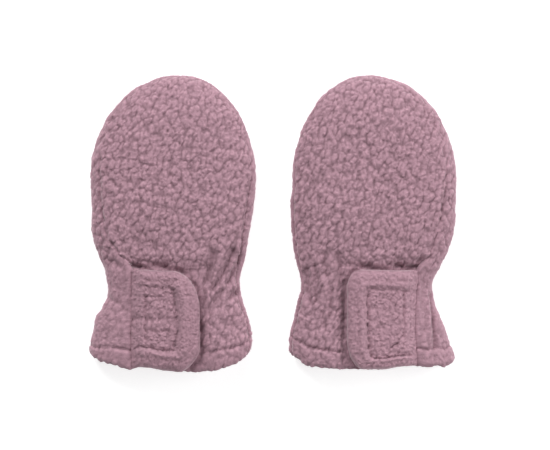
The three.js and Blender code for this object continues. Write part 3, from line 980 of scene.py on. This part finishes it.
def front_cloth(mitten, spacing, height, size, material):
    """A front panel, pressed in under its flap."""
    across = spread([(-1.0, 86), (1.0, 0)], spacing)
    at = spread([(-1.0, 96), (0.0, 56), (1.0, 0)], spacing)
    base, normal, y, level = front_form(mitten, across, at)
    x, in_tip = base[..., 0], level > 0
    seam, low = seams_and_hem(base)
    curls = curl_relief(base, mitten["seed"], size, mitten["hand"])
    calm = rim_calm(normal) * (1 - 0.3 * ease((HEM_STITCH - y) / 2))
    clear = np.where((y > SLIT_TOP) | in_tip, 1, ease((x - mitten["reach"] - 1.5) / 3))
    folded, creased = folds(mitten, base, level, 1)
    uneven = 1 + soft_noise(base, 4.5, mitten["seed"] + 82)
    shut = slit_end(mitten, x, y, level)
    tucked = np.where(in_tip, 0, bell(beside_flap(mitten, x, y) - 0.2, 1.2)) * uneven * (1 - shut)
    bare = np.where((y > SLIT_TOP + 1) | in_tip, 1, ease((x - mitten["reach"]) / 2))
    relief = pile_relief(mitten, base, curls, calm, creased)
    out = relief * height * mix(0.25, 1, bare) - creased * mix(0.4, 1, clear) - tucked
    out += (hem_relief(base, y) + soft_waves(base, mitten["seed"])) * clear
    valley = seam_valley(seam, level) * (1 - shut)
    out += SLIT_PRESS * shut - valley - 1.2 * bell(low, 1.1)
    base = hem_roll(base, curls, low)
    keep_stitch_line(mitten, base, normal, out, y, base[0, :, 0] > mitten["reach"] + 1)
    inner = inner_face(front_form, mitten, across, at, creased)
    name = mitten["name"] + "_front_cloth"
    # Painted shade in the folds and along the seams' groove.
    shade = FOLD_SHADE * (folded + valley)
    piece = curled_shell(mitten, name, base, normal, relief, out, inner, 1, material, shade)
    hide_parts(mitten["name"] + "_front_panel")
    below = [mitten["name"] + "_back_cloth"]


class MITTENS_OT_front_panels(bpy.types.Operator):
    """Makes the front panels, which are pressed in under the flaps"""

    bl_idname = "mittens.front_panels"
    bl_label = "Front panels"

    def execute(self, context):
        settings = wool(context)
        material = wool_finish("curly_wool_front", settings.wool_colour, 0.85, 0.55)
        for mitten in MITTENS:
            front_cloth(mitten, *wool_sizes(settings), material)
        return {"FINISHED"}


def flap_cloth(mitten, spacing, height, size, material):
    """A flap with a padded margin round its stitched field."""
    spacing = spacing * 0.85
    bottom = mitten["sections"][-1, 0]
    across = spread([(0.0, 37), (1.0, 0)], spacing)
    heights = spread([(bottom, 54), (FLAP_TOP, 0)], spacing)
    top, _, normal, x, y = flap_form(mitten, across, heights)
    _, rim, inward, from_seam = flap_plan(mitten, *np.meshgrid(across, heights))
    under = flap_form(mitten, across[::COARSE], heights[::COARSE])[1]
    curls = curl_relief(top, mitten["seed"] + 40, size * 0.92, mitten["hand"])
    inward = inward + soft_noise(top, 5.0, mitten["seed"] + 70) * 0.07
    firm = mix(0.35, 1, ease(((FLAP_TOP - y) / mitten["margins"][1] - 1.08) / 0.2))
    field = ease((inward - 0.92) / 0.16)
    side_x, top_y = mitten["field_corner"]
    pulls = 1 + 0.5 * soft_noise(top, 1.9, mitten["seed"] + 71)
    stitched = bell(inward - 1, 0.1) * ease((from_seam - 1) / 3) * firm
    stitched += bell(x - side_x, 0.9) * field * ease(top_y + 1 - y) * ease((y + 59) / 4) * 0.9
    stitched += bell(y - top_y, 0.9) * field * ease(x - side_x + 1) * ease((-4 - x) / 3) * 0.6
    stitched = stitched * pulls + furrows(mitten["flap_folds"], x, y)
    smooth = mix(0.34, 0.7, field) * mix(0.5, 1, ease((from_seam - 5) / 4))
    relief = (curls - CURL_MEAN) * smooth + short_pile(top, mitten["seed"]) * 1.6
    out = relief * height - stitched - 0.45 * bell(from_seam, 1.0)
    out += soft_waves(top, mitten["seed"]) * 0.8
    face = top + normal * out[..., None]
    STITCH_LINES[mitten["name"]].append(field_line(face, normal, inward, from_seam))
    name = mitten["name"] + "_flap_cloth"
    # Painted shade in the stitched furrows and folds, along the flap's free edges and under its top edge,
    # with each flap set a little darker or lighter as a whole.
    shade = mitten["flap_shade"] - 0.16 * stitched - 0.1 * bell(rim, 1.0)
    shade = shade - 0.3 * bell(FLAP_TOP - y, 1.3)
    piece = curled_shell(mitten, name, top, normal, relief, out, under, 1, material, shade)
    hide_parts(mitten["name"] + "_closing_flap")
    below = [mitten["name"] + "_front_cloth"]


class MITTENS_OT_closing_flaps(bpy.types.Operator):
    """Makes the closing flaps, with padded margins round their stitched fields"""

    bl_idname = "mittens.closing_flaps"
    bl_label = "Closing flaps"

    def execute(self, context):
        settings = wool(context)
        material = wool_finish("flap_wool", settings.wool_colour, 0.6, 0.45)
        for mitten in MITTENS:
            flap_cloth(mitten, *wool_sizes(settings), material)
        return {"FINISHED"}


class MITTENS_OT_hook_patches(bpy.types.Operator):
    """Gives the hook patches under the flaps their woven tape"""

    bl_idname = "mittens.hook_patches"
    bl_label = "Hook patches"

    def execute(self, context):
        material = tape_finish("hook_tape", context.scene.mitten_sewing.tape_colour)
        for mitten in MITTENS:
            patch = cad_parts[mitten["name"] + "_hook_patch"]
            for slot in patch.material_slots:
                slot.material = material
        return {"FINISHED"}


def thread_run(line, out, pitch, radius):
    """A row of stitches along a line on the cloth, as rings of points."""
    run = np.concatenate([[0], np.cumsum(np.linalg.norm(np.diff(line, axis=0), axis=1))])
    t = np.linspace(0, 1, 5)
    at = (np.arange(int(run[-1] / pitch))[:, None] + 0.16 + t * 0.68) * pitch
    middle = np.stack([np.interp(at, run, line[:, i]) for i in range(3)], -1)
    up = unit(np.stack([np.interp(at, run, out[:, i]) for i in range(3)], -1))
    side = np.cross(unit(np.gradient(middle, axis=1)), up)
    arch = np.sin(math.pi * t)[None, :, None, None]
    turn = np.arange(6)[:, None] * math.pi / 3
    round_it = side[:, :, None] * np.cos(turn) + up[:, :, None] * np.sin(turn)
    risen = middle[:, :, None] + up[:, :, None] * radius * (1.3 * arch - 0.5)
    return risen + round_it * radius * (0.5 + arch / 2)


def stitches(mitten, pitch, radius, material):
    """The thread of a mitten."""
    lines = STITCH_LINES[mitten["name"]]
    rings = np.concatenate([thread_run(line, out, pitch, radius) for line, out in lines])
    rings[..., 2] = np.maximum(rings[..., 2], TABLE_GAP)
    start = np.arange(len(rings))[:, None, None] * 30
    k, i = np.divmod(np.arange(24), 6)
    tube = np.stack([k * 6 + i, k * 6 + (i + 1) % 6, k * 6 + 6 + (i + 1) % 6, k * 6 + 6 + i], -1)
    ends = np.array([[3, 2, 1, 0], [5, 4, 3, 0], [24, 25, 26, 27], [24, 27, 28, 29]])
    quads = (start + np.concatenate([tube, ends])).reshape(-1, 4)
    if mitten["hand"] < 0:
        quads = quads[:, ::-1]
    where = placed(mitten, rings.reshape(-1, 3))
    name = mitten["name"] + "_stitches"
    mesh_piece(name, where, quads, NO_TRIANGLES, material)


class MITTENS_OT_stitches(bpy.types.Operator):
    """Makes the thread of the hems and of the flaps' stitched fields, sunk in the pile"""

    bl_idname = "mittens.stitches"
    bl_label = "Stitches"

    def execute(self, context):
        settings = context.scene.mitten_sewing
        material = thread_finish("thread", lit(wool(context).wool_colour, 0.85))
        pitch, radius = settings.stitch_length / MM, settings.thread_radius / MM
        for mitten in MITTENS:
            stitches(mitten, pitch, radius, material)
        return {"FINISHED"}


def loose_fibres(mitten, settings, material):
    """The loose fibres of a mitten."""
    random = np.random.default_rng(mitten["seed"] + 90)
    parts = []
    for kind, share in (("back", 0.34), ("front", 0.46), ("flap", 0.2)):
        outer, normal = OUTER_FACES[f"{mitten['name']}_{kind}_cloth"]
        count = int(settings.fuzz_count * share)
        j = random.integers(1, outer.shape[0] - 1, count * 3)
        i = random.integers(1, outer.shape[1] - 1, count * 3)
        shown = (normal[j, i, 2] > -0.55) & (outer[j, i, 2] > 1.5)
        if kind == "front":
            under = (outer[j, i, 1] < SLIT_TOP - 1) & (outer[j, i, 0] < mitten["reach"] + 1)
            shown &= ~under
        j, i = j[shown][:count], i[shown][:count]
        parts.append((outer[j, i], normal[j, i]))
    root = np.concatenate([p for p, _ in parts])
    out = np.concatenate([n for _, n in parts])
    count = len(root)
    lean = unit(random.normal(size=(count, 3)))
    side = unit(np.cross(out, lean))
    lean = unit(np.cross(side, out))
    length = settings.fuzz_length / MM * random.uniform(0.45, 1.15, count)[:, None]
    width = random.uniform(0.035, 0.06, count)[:, None]
    curl = random.uniform(0.3, 1.5, count)[:, None]
    sway = random.uniform(-0.5, 0.5, count)[:, None]
    steps = []
    for t, thick in ((0.0, 1.0), (0.35, 0.95), (0.7, 0.7), (1.0, 0.25)):
        along = out * (t - 0.28 * curl * t * t) + lean * curl * 0.75 * t * t + side * sway * t * t
        point = root - out * 0.15 + along * length
        steps += [point - side * width * thick / 2, point + side * width * thick / 2]
    points = np.stack(steps, 1)
    points[..., 2] = np.maximum(points[..., 2], TABLE_GAP)
    start = np.arange(count)[:, None, None] * 8
    ribbon = np.array([[0, 1, 3, 2], [2, 3, 5, 4], [4, 5, 7, 6]])
    quads = (start + ribbon).reshape(-1, 4)
    tone = np.repeat(random.uniform(0.35, 0.95, count), 8)
    name = mitten["name"] + "_fibres"
    where = placed(mitten, points.reshape(-1, 3))
    piece = mesh_piece(name, where, quads, NO_TRIANGLES, material, curl=tone)


class MITTENS_OT_loose_fibres(bpy.types.Operator):
    """Makes the loose fibres that stand out of the pile"""

    bl_idname = "mittens.loose_fibres"
    bl_label = "Loose fibres"

    def execute(self, context):
        settings = wool(context)
        material = wool_finish("wool_fibres", lit(settings.wool_colour, 1.12), 0.3, 0.1)
        for mitten in MITTENS:
            loose_fibres(mitten, settings, material)
        return {"FINISHED"}


def softbox(name, place, size, power):
    """A square area light that faces the mittens."""
    light = bpy.data.lights.new(name, "AREA")
    light.size = size
    light.energy = power
    lamp = bpy.data.objects.new(name, light)
    lamp.location = place
    lamp.rotation_euler = (-Vector(place)).to_track_quat("-Z", "Y").to_euler()
    bpy.context.scene.collection.objects.link(lamp)


class MITTENS_OT_table_and_light(bpy.types.Operator):
    """Makes the white table, the soft lights and the camera straight above"""

    bl_idname = "mittens.table_and_light"
    bl_label = "Table and light"

    def execute(self, context):
        settings = context.scene.mitten_stage
        scene = context.scene
        corners = [(x * FLOOR_REACH, y * FLOOR_REACH, 0) for x, y in ((-1, -1), (1, -1), (1, 1), (-1, 1))]
        mesh = bpy.data.meshes.new("floor")
        mesh.from_pydata(corners, [], [(0, 1, 2, 3)])
        mesh.materials.append(floor_finish("white_table", settings.floor_glow))
        floor = bpy.data.objects.new("floor", mesh)
        scene.collection.objects.link(floor)

        softbox("key", (-0.5, 0.95, 0.75), 0.45, settings.key_power)
        softbox("side", (1.0, 0.15, 0.55), 0.7, settings.side_power)
        softbox("tips", (0.1, 1.3, 0.4), 0.6, settings.tips_power)

        world = bpy.data.worlds.new("studio")
        world.use_nodes = True
        background = world.node_tree.nodes["Background"]
        background.inputs["Color"].default_value = (1, 1, 1, 1)
        background.inputs["Strength"].default_value = settings.fill
        scene.world = world
        scene.view_settings.view_transform = "Standard"

        camera = bpy.data.cameras.new("camera")
        camera.lens = settings.lens
        camera.sensor_width = SENSOR
        camera.clip_end = 20
        above = PICTURE_WIDTH * PIXEL * MM * settings.lens / SENSOR
        eye = bpy.data.objects.new("camera", camera)
        eye.location = (AIM[0] * PIXEL * MM, AIM[1] * PIXEL * MM, above + MIDDLE_HEIGHT * MM)
        eye.rotation_euler = (0, 0, 0)
        scene.collection.objects.link(eye)
        scene.camera = eye
        return {"FINISHED"}


PIECES = (
    MITTENS_OT_table_and_light,
    MITTENS_OT_back_panels,
    MITTENS_OT_front_panels,
    MITTENS_OT_closing_flaps,
    MITTENS_OT_hook_patches,
    MITTENS_OT_stitches,
    MITTENS_OT_loose_fibres,
)
SETTINGS = (
    ("mitten_wool", WoolSettings),
    ("mitten_sewing", SewingSettings),
    ("mitten_stage", StageSettings),
)


class MITTENS_PT_sidebar(bpy.types.Panel):
    """Lists the mittens' pieces in the order of making"""

    bl_idname = "MITTENS_PT_sidebar"
    bl_label = "Baby mittens"
    bl_space_type = "VIEW_3D"
    bl_region_type = "UI"
    bl_category = "Mittens"

    def draw(self, context):
        for name, settings in SETTINGS:
            box = self.layout.box()
            for field in settings.__annotations__:
                box.prop(getattr(context.scene, name), field)
        for piece in PIECES:
            self.layout.operator(piece.bl_idname)


def register():
    for name, settings in SETTINGS:
        bpy.utils.register_class(settings)
        setattr(bpy.types.Scene, name, bpy.props.PointerProperty(type=settings))
    for each in (*PIECES, MITTENS_PT_sidebar):
        bpy.utils.register_class(each)


def unregister():
    for each in (MITTENS_PT_sidebar, *reversed(PIECES)):
        bpy.utils.unregister_class(each)
    for name, settings in reversed(SETTINGS):
        delattr(bpy.types.Scene, name)
        bpy.utils.unregister_class(settings)


def main():
    register()
    for piece in PIECES:
        group, name = piece.bl_idname.split(".")
        getattr(getattr(bpy.ops, group), name)()


if __name__ == "__main__":
    main()
